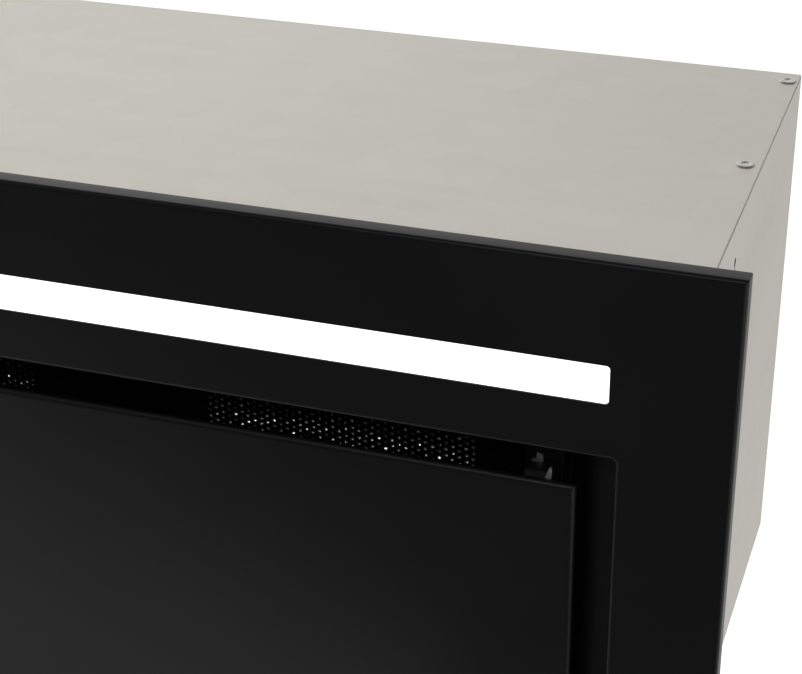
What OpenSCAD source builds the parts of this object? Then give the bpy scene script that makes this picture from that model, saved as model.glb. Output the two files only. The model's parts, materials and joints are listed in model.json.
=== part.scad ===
// Built-in canopy extractor: a black front frame with a flush light bar, a hinged panel that draws
// air in round its edge, and a galvanised casing with the blower, filters and duct collar.
// X runs along the width, Y from the black face back to the collar, Z up across the face.
// Depths named y are measured from the front face; the whole is then centred on Y.

/* [Frame] */
// Width of the black front frame
frame_w = 860; // [840:1:900]
// Height of the black front frame
frame_h = 380; // [372:1:400]
// Depth of the folded edge round the frame
frame_edge = 9.1; // [6:0.1:10]
// Thickness of the frame sheet
frame_t = 1.5; // [1.2:0.1:2]
// Width of the frame beside the suction opening
border_side = 52.5; // [48:0.5:60]
// Height of the frame above the suction opening
border_top = 96.6; // [90:0.1:102]
// Height of the frame below the suction opening
border_bottom = 52.5; // [48:0.5:58]
// Corner radius of the suction opening
opening_r = 2.5; // [1:0.5:6]
// Depth of the fold round the suction opening
opening_fold = 12; // [8:0.5:16]

/* [Light bar] */
// Distance from the frame's top edge to the light window
light_drop = 49.6; // [44:0.1:54]
// Height of the light window
light_h = 19.2; // [14:0.1:22]
// Distance from the frame's side edge to the light window
light_side = 56.5; // [50:0.5:70]
// Corner radius of the light window
light_r = 1.8; // [0.5:0.1:4]
// Thickness of the opal cover
cover_t = 4; // [3:0.5:6]
// Width of the lip that holds the cover behind the frame
cover_lip = 3; // [2:0.5:4]
// Depth of the light channel
channel_d = 15; // [12:0.5:20]
// Thickness of the light channel
channel_t = 1.2; // [1:0.1:2]
// Width of the channel's fixing flanges
channel_flange = 6; // [4:0.5:8]
// Number of light chips along the board
chip_count = 24; // [8:1:40]

/* [Suction panel] */
// Width of the slot between the panel and the frame
panel_gap = 17.5; // [16:0.1:21]
// Depth of the panel's folded edge
panel_d = 3.5; // [3:0.5:14]
// Thickness of the panel's sheet
panel_t = 1.2; // [1:0.1:2]
// Distance from the panel's side edge to the middle of a hinge
hinge_inset = 60; // [45:1:110]
// Radius of the hinge pins
pin_r = 1.2; // [1:0.1:1.5]
// Outer radius of the hinge knuckles
knuckle_r = 2.4; // [2.2:0.1:2.6]
// Length of the hinge knuckles
knuckle_l = 16; // [12:1:24]
// Distance from the panel's lower edge down to the hinge pin
hinge_drop = 5; // [4:0.5:6]
// Distance from the panel's side edge to the middle of a magnetic catch
catch_inset = 19; // [17:0.5:30]
// Width of a magnetic catch
catch_w = 14; // [10:1:18]
// Height of a magnetic catch
catch_h = 20; // [14:1:24]
// Depth of a magnetic catch
catch_d = 12; // [10:0.5:13]
// Chamfer on a catch's upper front edge
catch_chamfer = 4; // [2:0.5:6]
// Thickness of the striker plates
striker_t = 1.2; // [0.8:0.1:2]
// Width of the locating tongues on the panel's upper edge
tongue_w = 3.2; // [2:0.1:5]
// Height of the locating tongues
tongue_h = 5.8; // [4:0.1:8]

/* [Casing] */
// Distance from the frame's side edge to the casing
casing_inset_side = 16; // [14:0.5:20]
// Distance from the frame's top edge to the casing
casing_inset_top = 3; // [2.5:0.5:8]
// Distance from the frame's lower edge to the casing's lip
casing_inset_bottom = 16; // [14:0.5:18]
// Height of the casing
casing_h = 281; // [270:1:290]
// Depth from the black face to the back of the casing
casing_d = 250; // [245:1:290]
// Thickness of the galvanised sheet
steel_t = 1; // [0.8:0.1:1.2]
// Width of the flanges turned in round the end plates
flange_w = 15; // [13:0.5:18]
// Depth of the shallow tray behind the frame
tray_y = 66; // [60:1:70]
// Distance of the slot in each end plate from the black face
slot_y = 65; // [60:1:66]
// Length of the slot in each end plate
slot_l = 60; // [50:1:70]
// Distance from the casing's top down to the slot
slot_drop = 18; // [14:1:24]
// Width of the slot in each end plate
slot_w = 1.6; // [1.4:0.1:2.4]
// Radius of the relief hole at the slot's upper end
slot_relief_r = 2; // [1.5:0.1:3]

/* [Fixings] */
// Radius of a rivet's head
rivet_r = 4.5; // [3:0.25:5]
// Radius of a rivet's shank
rivet_shank_r = 2; // [1.5:0.1:2.4]
// Height of a rivet's head
rivet_h = 1.4; // [1:0.1:2]
// Distance of a rivet from the casing's side
rivet_inset = 7.5; // [6:0.5:9]
// Distance of the rear rivets on top and below from the casing's side
rivet_rear_inset = 5.3; // [5:0.1:9]
// Distance of the front rivets from the black face
rivet_front_y = 125.5; // [110:0.5:140]
// Distance of the rear rivets from the casing's back
rivet_back = 11.5; // [9:0.5:20]
// Distance of the lower and upper rivets on the back from its edges
rivet_end_z = 30; // [20:1:45]
// Radius of the fixing holes in the end plates
fix_hole_r = 2.25; // [2:0.05:3]
// Distance between the fixing holes
fix_spacing = 110; // [90:1:120]
// Height of the lower fixing hole above the casing's underside
fix_rise = 55; // [40:1:60]
// Distance of the fixing holes from the black face
fix_y = 35; // [30:1:50]
// Radius of the studs that hold the frame
stud_r = 2; // [1.5:0.25:2.5]
// Length of the studs that hold the frame
stud_l = 9; // [7:0.5:12]
// Thickness of the side clips
clip_t = 1.2; // [1:0.1:1.5]
// Width of the side clips
clip_w = 18; // [12:1:22]
// Reach of the side clips from the end plate
clip_reach = 6; // [4:0.5:11]

/* [Filters] */
// Distance from the opening's side edge to the outermost cassette
bank_side = 25.5; // [20:0.5:32]
// Distance from the black face to the cassettes
filter_y = 31; // [28:0.5:34]
// Thickness of a cassette
filter_d = 9; // [8:0.5:12]
// Thickness of a cassette's perforated face
filter_face_t = 1; // [0.8:0.1:1.5]
// Thickness of the layered mesh in a cassette
mesh_t = 3; // [2:0.5:5]
// Width of the plain strip beside the perforated area of a cassette
perf_side = 47; // [30:0.5:60]
// Height of the plain strip below the perforated area
perf_bottom = 14; // [12:0.5:24]
// Height of the plain strip above the perforated area
perf_top = 6; // [5.5:0.5:12]
// Radius of a perforation
perf_r = 3.6; // [2:0.1:4.5]
// Distance from one perforation to the next
perf_pitch = 10.8; // [10:0.1:16]
// Travel that lifts a cassette out of its lower groove
filter_lift = 6; // [5:0.5:7]
// Depth of the lower groove round a cassette
filter_grip = 5; // [4:0.5:5.5]

/* [Blower] */
// Radius of the impeller
impeller_r = 60; // [50:1:66]
// Width of the impeller
impeller_w = 110; // [90:1:116]
// Depth of the impeller's blades
blade_d = 12; // [9:0.5:16]
// Number of impeller blades
blade_count = 32; // [20:1:40]
// Outer radius of the scroll
scroll_r = 82; // [78:1:88]
// Width of the scroll
scroll_w = 130; // [124:1:150]
// Wall of the scroll
scroll_t = 2.5; // [2:0.1:3]
// Radius of the air inlets
inlet_r = 48; // [46:0.5:52]
// Height of the scroll's outlet
outlet_h = 110; // [90:1:120]
// Distance from the scroll's round wall to the back sheet
scroll_back = 9; // [5:0.5:13]
// Height of the motor shaft above the casing's underside
shaft_rise = 105; // [98:1:120]
// Radius of the motor shaft
shaft_r = 3; // [2.5:0.1:4]
// Radius of the motor
motor_r = 38; // [32:0.5:40]
// Length of the motor
motor_l = 46; // [42:1:50]
// Wall of the motor's can
can_t = 2; // [1.5:0.1:2.5]
// Distance from the motor's ends to its stator
stator_end = 10; // [9:0.5:14]

/* [Duct collar] */
// Outer radius of the collar, over which the duct slides
collar_r = 75; // [62:0.5:76]
// Length of the collar
collar_l = 75; // [72:1:100]
// Wall of the collar
collar_t = 2.5; // [2:0.1:3]
// Width of the collar's flange
collar_flange = 13; // [12:0.5:18]
// Thickness of the damper flaps
flap_t = 1.5; // [1:0.1:2]
// Distance of each damper rod from the collar's middle
rod_x = 4; // [3.6:0.1:6]
// Radius of the damper rods
rod_r = 1.6; // [1.2:0.1:2]

/* [Controls and electrics] */
// Radius of the push buttons
button_r = 5.5; // [4:0.1:6.5]
// Distance from one button to the next
button_pitch = 22; // [19:0.5:26]
// Travel of the push buttons
button_travel = 1.5; // [1:0.1:1.8]
// Width of the control box
box_w = 110; // [90:1:130]
// Height of the control box
box_h = 80; // [60:1:90]
// Depth of the control box
box_d = 40; // [34:1:46]
// Wall of the plastic boxes
box_t = 2; // [1.5:0.1:2.5]
// Distance from the casing's end plate to the control box
box_side = 53; // [45:1:60]
// Distance from the casing's end plate to the gland
gland_side = 28; // [26:0.5:34]
// Width of the light driver
driver_w = 120; // [90:1:130]
// Height of the light driver
driver_h = 24; // [18:1:30]
// Depth of the light driver
driver_d = 40; // [30:1:50]
// Distance from the tray to the light driver
driver_front = 24; // [10:1:40]
// Distance from the light driver to the control box, along the width
driver_gap = 10; // [5:1:20]
// Radius of the motor's capacitor
capacitor_r = 15; // [12:0.5:18]
// Length of the motor's capacitor
capacitor_l = 60; // [40:1:70]
// Distance from the scroll to the capacitor
capacitor_gap = 55; // [30:1:60]
// Distance from the back sheet to the capacitor's middle
capacitor_back = 40; // [20:1:60]
// Radius of the mains lead that the gland takes
lead_r = 4; // [3:0.1:4.5]

/* [Clearances] */
// Clearance round parts that are fitted and fixed
fit_gap = 0.3; // [0.2:0.05:0.4]
// Radial clearance of a running shaft, pin or knuckle
run_gap = 0.05; // [0.03:0.01:0.08]
// Clearance round parts that slide or swing
slide_gap = 0.5; // [0.4:0.05:0.8]

/* [Hidden] */
$fn = 64;

// Colours of the finishes
satin_black = [0.07, 0.07, 0.07];
soft_black = [0.10, 0.10, 0.10];
galvanised = [0.72, 0.71, 0.68];
zinc = [0.80, 0.80, 0.82];
aluminium = [0.82, 0.83, 0.85];
opal = [0.97, 0.97, 0.96];
board_green = [0.12, 0.35, 0.20];

// The whole, front to back
overall_d = casing_d + collar_l;
half_w = frame_w / 2;

// The suction opening and the panel in it
open_x = half_w - border_side;
open_z0 = border_bottom;
open_z1 = frame_h - border_top;
panel_x = open_x - panel_gap;
panel_z0 = open_z0 + panel_gap;
panel_z1 = open_z1 - panel_gap;
hinge_x = panel_x - hinge_inset;
hinge_y = knuckle_r + 0.2;
hinge_z = panel_z0 - hinge_drop;
ear_t = 2;
lug_t = 1.6;
catch_x = panel_x - catch_inset;
striker_y = panel_d;
catch_y = striker_y + striker_t + fit_gap;
catch_z1 = panel_z1;
catch_z0 = catch_z1 - catch_h;
catch_bracket_side = 2;

// The light bar
light_x = half_w - light_side;
light_z = frame_h - light_drop - light_h / 2;
channel_x = light_x + cover_lip + slide_gap;
channel_hz = light_h / 2 + cover_lip + slide_gap;
led_board_t = 1.6;
chip_t = 0.8;
chip_l = 5;
chip_h = 3;
channel_y1 = frame_t + channel_d;

// The casing
case_x = half_w - casing_inset_side;
case_z1 = frame_h - casing_inset_top;
case_z0 = case_z1 - casing_h;
lip_z0 = casing_inset_bottom;
wall_x = case_x - steel_t;
roof_z = case_z1 - steel_t;
back_y = casing_d - steel_t;
floor_z = case_z0 + steel_t;
step_y = tray_y + steel_t;
rivet_x = case_x - rivet_inset;
rivet_spots = [[rivet_x, rivet_front_y], [case_x - rivet_rear_inset, casing_d - rivet_back]];
stud_x = case_x - rivet_inset;
stud_rows = [lip_z0 + 40, frame_h / 2, roof_z - 40];

// The tray and the filters
tray_x = open_x + frame_t;
tray_z0 = open_z0 - frame_t;
tray_z1 = open_z1 + frame_t;
tray_window_side = 10;
tray_window_top = 6;
tray_window_bottom = 14;
filter_rise = 3;
filter_z0 = open_z0 + filter_rise;
filter_z1 = open_z1 - filter_lift - filter_rise / 2;
filter_count = 3;
bank_x = open_x - bank_side;
filter_pitch = 2 * bank_x / filter_count;
filter_w = filter_pitch - 2 * slide_gap;
filter_rim = 1;
carrier_lip = 1;
carrier_y0 = filter_y - slide_gap - carrier_lip;
carrier_y1 = filter_y + filter_d + slide_gap + 1.5;
carrier_window = 10;
handle_w = 40;
handle_r = 1.5;
handle_out = 5;
handle_rise = 9;
handle_z = filter_z0 + handle_rise;
perf_w = filter_w - 2 * perf_side;
perf_z0 = filter_z0 + perf_bottom;
perf_z1 = filter_z1 - perf_top;

// The blower and the collar
shaft_y = back_y - scroll_r - scroll_back;
shaft_z = case_z0 + shaft_rise;
outlet_z1 = shaft_z + scroll_r;
outlet_z0 = outlet_z1 - outlet_h;
collar_z = (outlet_z0 + outlet_z1) / 2;
disc_x = motor_l - impeller_w / 2 + 10;
motor_x0 = 5 - impeller_w / 2;
bracket_t = 4;
bearing_r = 8;
bearing_w = 6;
rotor_core_r = motor_r - 16;
rotor_end = stator_end + 2;
hub_l = 22;
hub_r = shaft_r + 6;
scroll_flange = 8;
bracket_ring = 10;
bracket_arm = 10;
bracket_hub_r = 14;
collar_bore = collar_r - collar_t;
flange_t = 3;
seat_w = 3.5;
flap_knuckle_r = rod_r + 1.6;
rod_y = casing_d + flap_knuckle_r + 1;
seat_y1 = rod_y - flap_t / 2 - fit_gap;
flap_r = collar_bore - 1;
flap_knuckle_l = 2 * (collar_bore - seat_w) - 4;
screw_reach = (collar_r + collar_flange / 2) * sin(45);
screw_r = 2;

// The controls and the electrics
button_z = (lip_z0 + steel_t + tray_z0 - steel_t) / 2;
button_flange = 1.3;
button_flange_t = 1.2;
button_cap = 5;
button_stem_r = 2;
housing_d = 10.5;
housing_well = button_cap + button_travel + 0.5;
box_x0 = wall_x - box_side - box_w;
box_rise = 24;
box_z0 = floor_z + box_rise;
board_inset = 4;
board_t = 1.6;
board_y = back_y - box_t - 8;
pillar_inset = 8;
pillar_r = 2.5;
terminal_w = 30;
terminal_h = 16;
terminal_d = 14;
terminal_inset = 14;
gland_x = wall_x - gland_side;
gland_z = box_z0 + box_h / 2;
lead_bore = lead_r + 0.25;
gland_inner = 8;
gland_outer = 14;
gland_rim = 5;
driver_x1 = box_x0 - driver_gap;
capacitor_x0 = scroll_w / 2 + capacitor_gap;
nut_r = 3.6;
clip_z = roof_z - slot_drop - slot_l + clip_w / 2 + 1;

// Moves a piece drawn from the front face to its place
module placed()
    translate([0, -overall_d / 2, 0]) children();

// A block given by its lowest and highest corners
module slab(low, high)
    translate(low) cube(high - low);

// A rectangle with round corners, centred on the origin
module round_rect(w, h, r)
    union() {
        square([w - 2 * r, h], center = true);
        square([w, h - 2 * r], center = true);
        for (sx = [-1, 1], sy = [-1, 1])
            translate([sx * (w / 2 - r), sy * (h / 2 - r)]) circle(r);
    }

// A plate standing across the face: the outline lies in X and Z, from depth y0 to y1
module upright(y0, y1)
    translate([0, y1, 0]) rotate([90, 0, 0]) linear_extrude(y1 - y0) children();

// A round bar along Y
module bar_y(x, z, y0, y1, r)
    translate([x, y0, z]) rotate([-90, 0, 0]) cylinder(h = y1 - y0, r = r);

// A round bar along X
module bar_x(y, z, x0, x1, r)
    translate([x0, y, z]) rotate([0, 90, 0]) cylinder(h = x1 - x0, r = r);

// The same piece at both sides
module both_sides() {
    children();
    mirror([1, 0, 0]) children();
}

// ---- frame and light ----

module opening_outline(grow)
    translate([0, (open_z0 + open_z1) / 2])
        round_rect(2 * (open_x + grow), open_z1 - open_z0 + 2 * grow, opening_r + grow);

module light_outline(grow)
    translate([0, light_z]) round_rect(2 * (light_x + grow), light_h + 2 * grow, light_r + grow);

module frame_outline(shrink)
    translate([0, frame_h / 2])
        square([frame_w - 2 * shrink, frame_h - 2 * shrink], center = true);

module front_frame()
    color(satin_black) placed() difference() {
        union() {
            upright(0, frame_t) frame_outline(0);
            upright(frame_t, frame_edge) difference() {
                frame_outline(0);
                frame_outline(frame_t);
            }
            upright(frame_edge - frame_t, frame_edge) difference() {
                frame_outline(0);
                frame_outline(casing_inset_top - fit_gap);
            }
            upright(0, opening_fold) opening_outline(frame_t);
        }
        upright(-1, opening_fold + 1) opening_outline(0);
        upright(-1, frame_t + 1) light_outline(0);
        for (i = [-2 : 2])
            bar_y(i * button_pitch, button_z, -1, frame_t + 1, button_r + fit_gap);
    }

module light_cover()
    color(opal) placed() {
        upright(0, cover_t) light_outline(-fit_gap);
        upright(frame_t, cover_t) light_outline(cover_lip);
    }

module light_channel()
    color(aluminium) placed() difference() {
        union() {
            slab([-channel_x - channel_t, frame_t, light_z - channel_hz - channel_t],
                [channel_x + channel_t, channel_y1, light_z + channel_hz + channel_t]);
            slab([-channel_x - channel_t, frame_t, light_z - channel_hz - channel_t - channel_flange],
                [channel_x + channel_t, frame_t + channel_t,
                    light_z + channel_hz + channel_t + channel_flange]);
        }
        slab([-channel_x - 2 * channel_t, frame_t - 1, light_z - channel_hz],
            [channel_x + 2 * channel_t, channel_y1 - channel_t, light_z + channel_hz]);
    }

module light_end_caps()
    color(soft_black) placed() both_sides()
        slab([channel_x, cover_t + fit_gap, light_z - channel_hz],
            [channel_x + channel_t, channel_y1 - channel_t, light_z + channel_hz]);

module led_board()
    color(board_green) placed()
        slab([-channel_x + 2, channel_y1 - channel_t - led_board_t, light_z - light_h / 2],
            [channel_x - 2, channel_y1 - channel_t, light_z + light_h / 2]);

module led_chips()
    color(opal) placed() {
        chip_y = channel_y1 - channel_t - led_board_t;
        for (i = [0 : chip_count - 1])
            translate([(i + 0.5) * 2 * light_x / chip_count - light_x, chip_y - chip_t / 2, light_z])
                cube([chip_l, chip_t, chip_h], center = true);
    }

module led_driver()
    color(soft_black) placed()
        slab([driver_x1 - driver_w, step_y + driver_front, roof_z - driver_h],
            [driver_x1, step_y + driver_front + driver_d, roof_z]);

// ---- suction panel ----

module suction_panel()
    color(satin_black) placed() difference() {
        slab([-panel_x, 0, panel_z0], [panel_x, panel_d, panel_z1]);
        slab([-panel_x + panel_t, panel_t, panel_z0 + panel_t],
            [panel_x - panel_t, panel_d + 1, panel_z1 - panel_t]);
    }

module panel_backing()
    color(soft_black) placed()
        slab([-panel_x + panel_t, panel_d - panel_t, panel_z0 + panel_t],
            [panel_x - panel_t, panel_d, panel_z1 - panel_t]);

module panel_strikers()
    color(zinc) placed() both_sides() {
        tongue_x = catch_x + catch_w / 2 - tongue_w;
        slab([catch_x - catch_w / 2, striker_y, catch_z0],
            [catch_x + catch_w / 2, striker_y + striker_t, catch_z1 - panel_t]);
        upright(striker_y, striker_y + striker_t)
            polygon([[tongue_x, catch_z1 - panel_t], [tongue_x + tongue_w, catch_z1 - panel_t],
                [tongue_x + tongue_w, panel_z1 + tongue_h], [tongue_x + 0.7 * tongue_w, panel_z1 + tongue_h],
                [tongue_x, panel_z1]]);
    }

module panel_hinge_lugs()
    color(zinc) placed() both_sides() difference() {
        union() {
            bar_x(hinge_y, hinge_z, hinge_x - knuckle_l / 2, hinge_x + knuckle_l / 2, knuckle_r);
            slab([hinge_x - knuckle_l / 2, hinge_y - lug_t / 2, hinge_z],
                [hinge_x + knuckle_l / 2, hinge_y + lug_t / 2, panel_z0]);
        }
        bar_x(hinge_y, hinge_z, hinge_x - knuckle_l, hinge_x + knuckle_l, pin_r + run_gap);
    }

module hinge_brackets()
    color(zinc) placed() both_sides() difference() {
        ear_x = knuckle_l / 2 + fit_gap;
        union() {
            for (side = [-1, 1])
                translate([hinge_x + side * (ear_x + ear_t / 2), 0, 0]) {
                    bar_x(hinge_y, hinge_z, -ear_t / 2, ear_t / 2, knuckle_r);
                    slab([-ear_t / 2, hinge_y - knuckle_r, open_z0],
                        [ear_t / 2, hinge_y + knuckle_r, hinge_z]);
                }
            slab([hinge_x - ear_x - ear_t, hinge_y - knuckle_r, open_z0],
                [hinge_x + ear_x + ear_t, hinge_y + knuckle_r, open_z0 + ear_t]);
        }
        bar_x(hinge_y, hinge_z, hinge_x - knuckle_l, hinge_x + knuckle_l, pin_r);
    }

module hinge_pins()
    color(zinc) placed() both_sides()
        bar_x(hinge_y, hinge_z, hinge_x - knuckle_l / 2 - fit_gap - ear_t,
            hinge_x + knuckle_l / 2 + fit_gap + ear_t, pin_r);

// The magnet block, with a lead-in chamfer on its upper edge
module magnet_catches()
    color(soft_black) placed() both_sides()
        translate([catch_x - catch_w / 2, 0, 0])
            rotate([90, 0, 90]) linear_extrude(catch_w)
                polygon([[catch_y, catch_z0], [catch_y + catch_d, catch_z0], [catch_y + catch_d, catch_z1],
                    [catch_y + catch_chamfer, catch_z1], [catch_y, catch_z1 - catch_chamfer]]);

module catch_brackets()
    color(soft_black) placed() both_sides()
        slab([catch_x - catch_w / 2 - catch_bracket_side, catch_y + catch_d, catch_z0],
            [catch_x + catch_w / 2 + catch_bracket_side, carrier_y0, tray_z1]);

// ---- tray and filters ----

module suction_tray()
    color(soft_black) placed() difference() {
        slab([-tray_x - steel_t, frame_t, tray_z0 - steel_t], [tray_x + steel_t, tray_y, tray_z1 + steel_t]);
        slab([-tray_x, 0, tray_z0], [tray_x, tray_y - steel_t, tray_z1]);
        slab([-tray_x + tray_window_side, 0, floor_z + tray_window_bottom],
            [tray_x - tray_window_side, tray_y + 1, tray_z1 - tray_window_top]);
    }

// The moulded frame that the cassettes slide in: shallow groove below, deep groove above
module filter_carrier()
    color(soft_black) placed() difference() {
        slab([-tray_x, carrier_y0, tray_z0], [tray_x, carrier_y1, tray_z1]);
        slab([-bank_x, filter_y - slide_gap, filter_z0 - slide_gap],
            [bank_x, filter_y + filter_d + slide_gap, filter_z1 + filter_lift + slide_gap]);
        slab([-bank_x, carrier_y0 - 1, filter_z0 + filter_grip],
            [bank_x, filter_y, filter_z1 - filter_grip]);
        slab([-bank_x + carrier_window, filter_y, filter_z0 + carrier_window],
            [bank_x - carrier_window, carrier_y1 + 1, filter_z1 - carrier_window]);
    }

// Staggered rows of round holes over the perforated area
module perforations() {
    rows = floor((perf_z1 - perf_z0 - 2 * perf_r) / (perf_pitch * sin(60)));
    columns = floor((perf_w - 2 * perf_r) / perf_pitch);
    for (row = [0 : rows], column = [0 : columns - row % 2])
        translate([(column - (columns - row % 2) / 2) * perf_pitch,
            perf_z1 - perf_r - row * perf_pitch * sin(60)])
            circle(perf_r, $fn = 24);
}

module cassette(place) {
    x = place * filter_pitch;
    color(satin_black) placed() translate([x, 0, 0]) {
        upright(filter_y, filter_y + filter_face_t) difference() {
            translate([-filter_w / 2, filter_z0]) square([filter_w, filter_z1 - filter_z0]);
            perforations();
        }
        difference() {
            slab([-filter_w / 2, filter_y + filter_face_t, filter_z0],
                [filter_w / 2, filter_y + filter_d, filter_z1]);
            slab([-filter_w / 2 + filter_rim, filter_y, filter_z0 + filter_rim],
                [filter_w / 2 - filter_rim, filter_y + filter_d + 1, filter_z1 - filter_rim]);
        }
        for (side = [-1, 1])
            bar_y(side * handle_w / 2, handle_z, filter_y - handle_out, filter_y, handle_r);
        bar_x(filter_y - handle_out, handle_z, -handle_w / 2, handle_w / 2, handle_r);
    }
}

module cassette_mesh(place)
    color(aluminium) placed() translate([place * filter_pitch, 0, 0])
        slab([-filter_w / 2 + filter_rim, filter_y + filter_face_t, filter_z0 + filter_rim],
            [filter_w / 2 - filter_rim, filter_y + filter_face_t + mesh_t, filter_z1 - filter_rim]);

module filter_left() cassette(-1);
module filter_middle() cassette(0);
module filter_right() cassette(1);
module filter_mesh_left() cassette_mesh(-1);
module filter_mesh_middle() cassette_mesh(0);
module filter_mesh_right() cassette_mesh(1);

// ---- casing ----

module top_sheet()
    color(galvanised) placed() difference() {
        slab([-case_x, frame_t, roof_z], [case_x, casing_d, case_z1]);
        both_sides()
            for (spot = rivet_spots)
                translate([spot[0], spot[1], roof_z - 1]) cylinder(h = steel_t + 2, r = rivet_shank_r);
    }

module back_sheet()
    color(galvanised) placed() difference() {
        slab([-case_x, back_y, case_z0], [case_x, casing_d, roof_z]);
        slab([scroll_t - scroll_w / 2, back_y - 1, outlet_z0 + scroll_t],
            [scroll_w / 2 - scroll_t, casing_d + 1, outlet_z1 - scroll_t]);
        collar_screw_bars(back_y - 1, casing_d + 1, screw_r);
        bar_y(gland_x, gland_z, back_y - 1, casing_d + 1, lead_r + 2);
        both_sides()
            for (z = [case_z0 + rivet_end_z, roof_z - rivet_end_z])
                bar_y(rivet_x, z, back_y - 1, casing_d + 1, rivet_shank_r);
    }

// One folded sheet: the casing's underside, the step and the lip below the tray
module bottom_sheet()
    color(galvanised) placed() difference() {
        union() {
            slab([-wall_x, frame_t, lip_z0], [wall_x, step_y, lip_z0 + steel_t]);
            slab([-wall_x, tray_y, lip_z0], [wall_x, step_y, floor_z]);
            slab([-wall_x, tray_y, case_z0], [wall_x, back_y, floor_z]);
        }
        both_sides()
            for (spot = rivet_spots)
                translate([spot[0], spot[1], case_z0 - 1]) cylinder(h = steel_t + 2, r = rivet_shank_r);
    }

module end_plate()
    color(galvanised) placed() difference() {
        union() {
            translate([wall_x, 0, 0]) rotate([90, 0, 90]) linear_extrude(steel_t)
                polygon([[frame_t, lip_z0], [step_y, lip_z0], [step_y, case_z0], [back_y, case_z0],
                    [back_y, roof_z], [frame_t, roof_z]]);
            slab([case_x - flange_w, frame_t + steel_t, roof_z - steel_t], [wall_x, back_y, roof_z]);
            slab([case_x - flange_w, back_y - steel_t, floor_z], [wall_x, back_y, roof_z]);
            slab([case_x - flange_w, step_y, floor_z], [wall_x, back_y, floor_z + steel_t]);
            slab([case_x - flange_w, frame_t, lip_z0 + steel_t], [wall_x, frame_t + steel_t, roof_z]);
        }
        slab([wall_x - 1, slot_y - slot_w / 2, roof_z - slot_drop - slot_l],
            [case_x + 1, slot_y + slot_w / 2, roof_z - slot_drop - slot_relief_r]);
        bar_x(slot_y, roof_z - slot_drop - slot_relief_r, wall_x - 1, case_x + 1, slot_relief_r);
        for (z = [case_z0 + fix_rise, case_z0 + fix_rise + fix_spacing])
            bar_x(fix_y, z, wall_x - 1, case_x + 1, fix_hole_r);
        for (spot = rivet_spots)
            translate([spot[0], spot[1], case_z0]) cylinder(h = casing_h, r = rivet_shank_r);
        for (z = [case_z0 + rivet_end_z, roof_z - rivet_end_z])
            bar_y(rivet_x, z, back_y - steel_t - 1, back_y + 1, rivet_shank_r);
        for (z = stud_rows)
            bar_y(stud_x, z, 0, frame_t + steel_t + 1, stud_r);
    }

module end_plate_right() end_plate();
module end_plate_left() mirror([1, 0, 0]) end_plate();

// A blind rivet with a domed, dished head, its shank going down from z = 0
module rivet()
    rotate_extrude()
        polygon([[0.9, -2 * steel_t - 1], [rivet_shank_r, -2 * steel_t - 1], [rivet_shank_r, 0],
            [rivet_r, 0], [rivet_r, rivet_h / 4], [rivet_r * 0.8, rivet_h * 0.75],
            [rivet_r * 0.55, rivet_h], [rivet_r * 0.4, rivet_h], [0.9, rivet_h / 2]]);

module casing_rivets()
    color(zinc) placed() both_sides() {
        for (spot = rivet_spots) {
            translate([spot[0], spot[1], case_z1]) rivet();
            translate([spot[0], spot[1], case_z0]) rotate([180, 0, 0]) rivet();
        }
        for (z = [case_z0 + rivet_end_z, roof_z - rivet_end_z])
            translate([rivet_x, casing_d, z]) rotate([-90, 0, 0]) rivet();
    }

// Studs on the back of the frame, in the end plates' front flanges
module frame_studs()
    color(zinc) placed() both_sides()
        for (z = stud_rows)
            bar_y(stud_x, z, frame_t, frame_t + stud_l, stud_r);

module frame_nuts()
    color(zinc) placed() both_sides()
        for (z = stud_rows)
            difference() {
                translate([stud_x, frame_t + steel_t, z]) rotate([-90, 0, 0])
                    cylinder(h = 3.2, r = nut_r + 0.4, $fn = 6);
                bar_y(stud_x, z, 0, frame_t + 10, stud_r);
            }

// Spring clips that hook into the slots and grip the cabinet's side
module side_clips()
    color(zinc) placed() both_sides()
        difference() {
            translate([0, 0, clip_z - clip_w / 2]) linear_extrude(clip_w)
                polygon([[wall_x - 6, slot_y - clip_t / 2], [case_x, slot_y - clip_t / 2],
                    [case_x, slot_y - clip_t / 2 - 6], [case_x + clip_reach, frame_edge + 20],
                    [case_x + clip_reach, frame_edge + 16], [case_x + 3, frame_edge + 8],
                    [case_x + 3 + clip_t, frame_edge + 7], [case_x + clip_reach + clip_t, frame_edge + 15],
                    [case_x + clip_reach + clip_t, frame_edge + 21], [case_x + clip_t, slot_y - 5],
                    [case_x + clip_t, slot_y + clip_t / 2], [wall_x - 6, slot_y + clip_t / 2]]);
            bar_x(slot_y - 16, clip_z, case_x - 1, case_x + clip_reach + 3, stud_r);
        }

module clip_screws()
    color(zinc) placed() both_sides() {
        bar_x(slot_y - 16, clip_z, case_x, case_x + clip_reach + 1, stud_r);
        bar_x(slot_y - 16, clip_z, case_x + clip_reach + 1, case_x + clip_reach + 3.5, stud_r + 1.5);
    }

// ---- blower ----

// The scroll's side view, drawn with Y to the right and Z up
module scroll_outline(inset)
    union() {
        translate([shaft_y, shaft_z]) circle(scroll_r - inset);
        translate([shaft_y, outlet_z0 + inset])
            square([back_y - shaft_y + (inset > 0 ? 1 : 0), outlet_h - 2 * inset]);
    }

module scroll_half()
    color(soft_black) placed() difference() {
        union() {
            rotate([90, 0, 90]) linear_extrude(scroll_w / 2) scroll_outline(0);
            slab([0, back_y - flange_t, outlet_z0 - scroll_flange],
                [scroll_w / 2 + scroll_flange, back_y, outlet_z1 + scroll_flange]);
        }
        translate([-1, 0, 0]) rotate([90, 0, 90]) linear_extrude(scroll_w / 2 - scroll_t + 1)
            scroll_outline(scroll_t);
        bar_x(shaft_y, shaft_z, scroll_w / 2 - scroll_t - 1, scroll_w / 2 + 1, inlet_r);
        collar_screw_bars(back_y - flange_t - 1, back_y + 1, screw_r);
    }

module scroll_right() scroll_half();
module scroll_left() mirror([1, 0, 0]) scroll_half();

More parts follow.
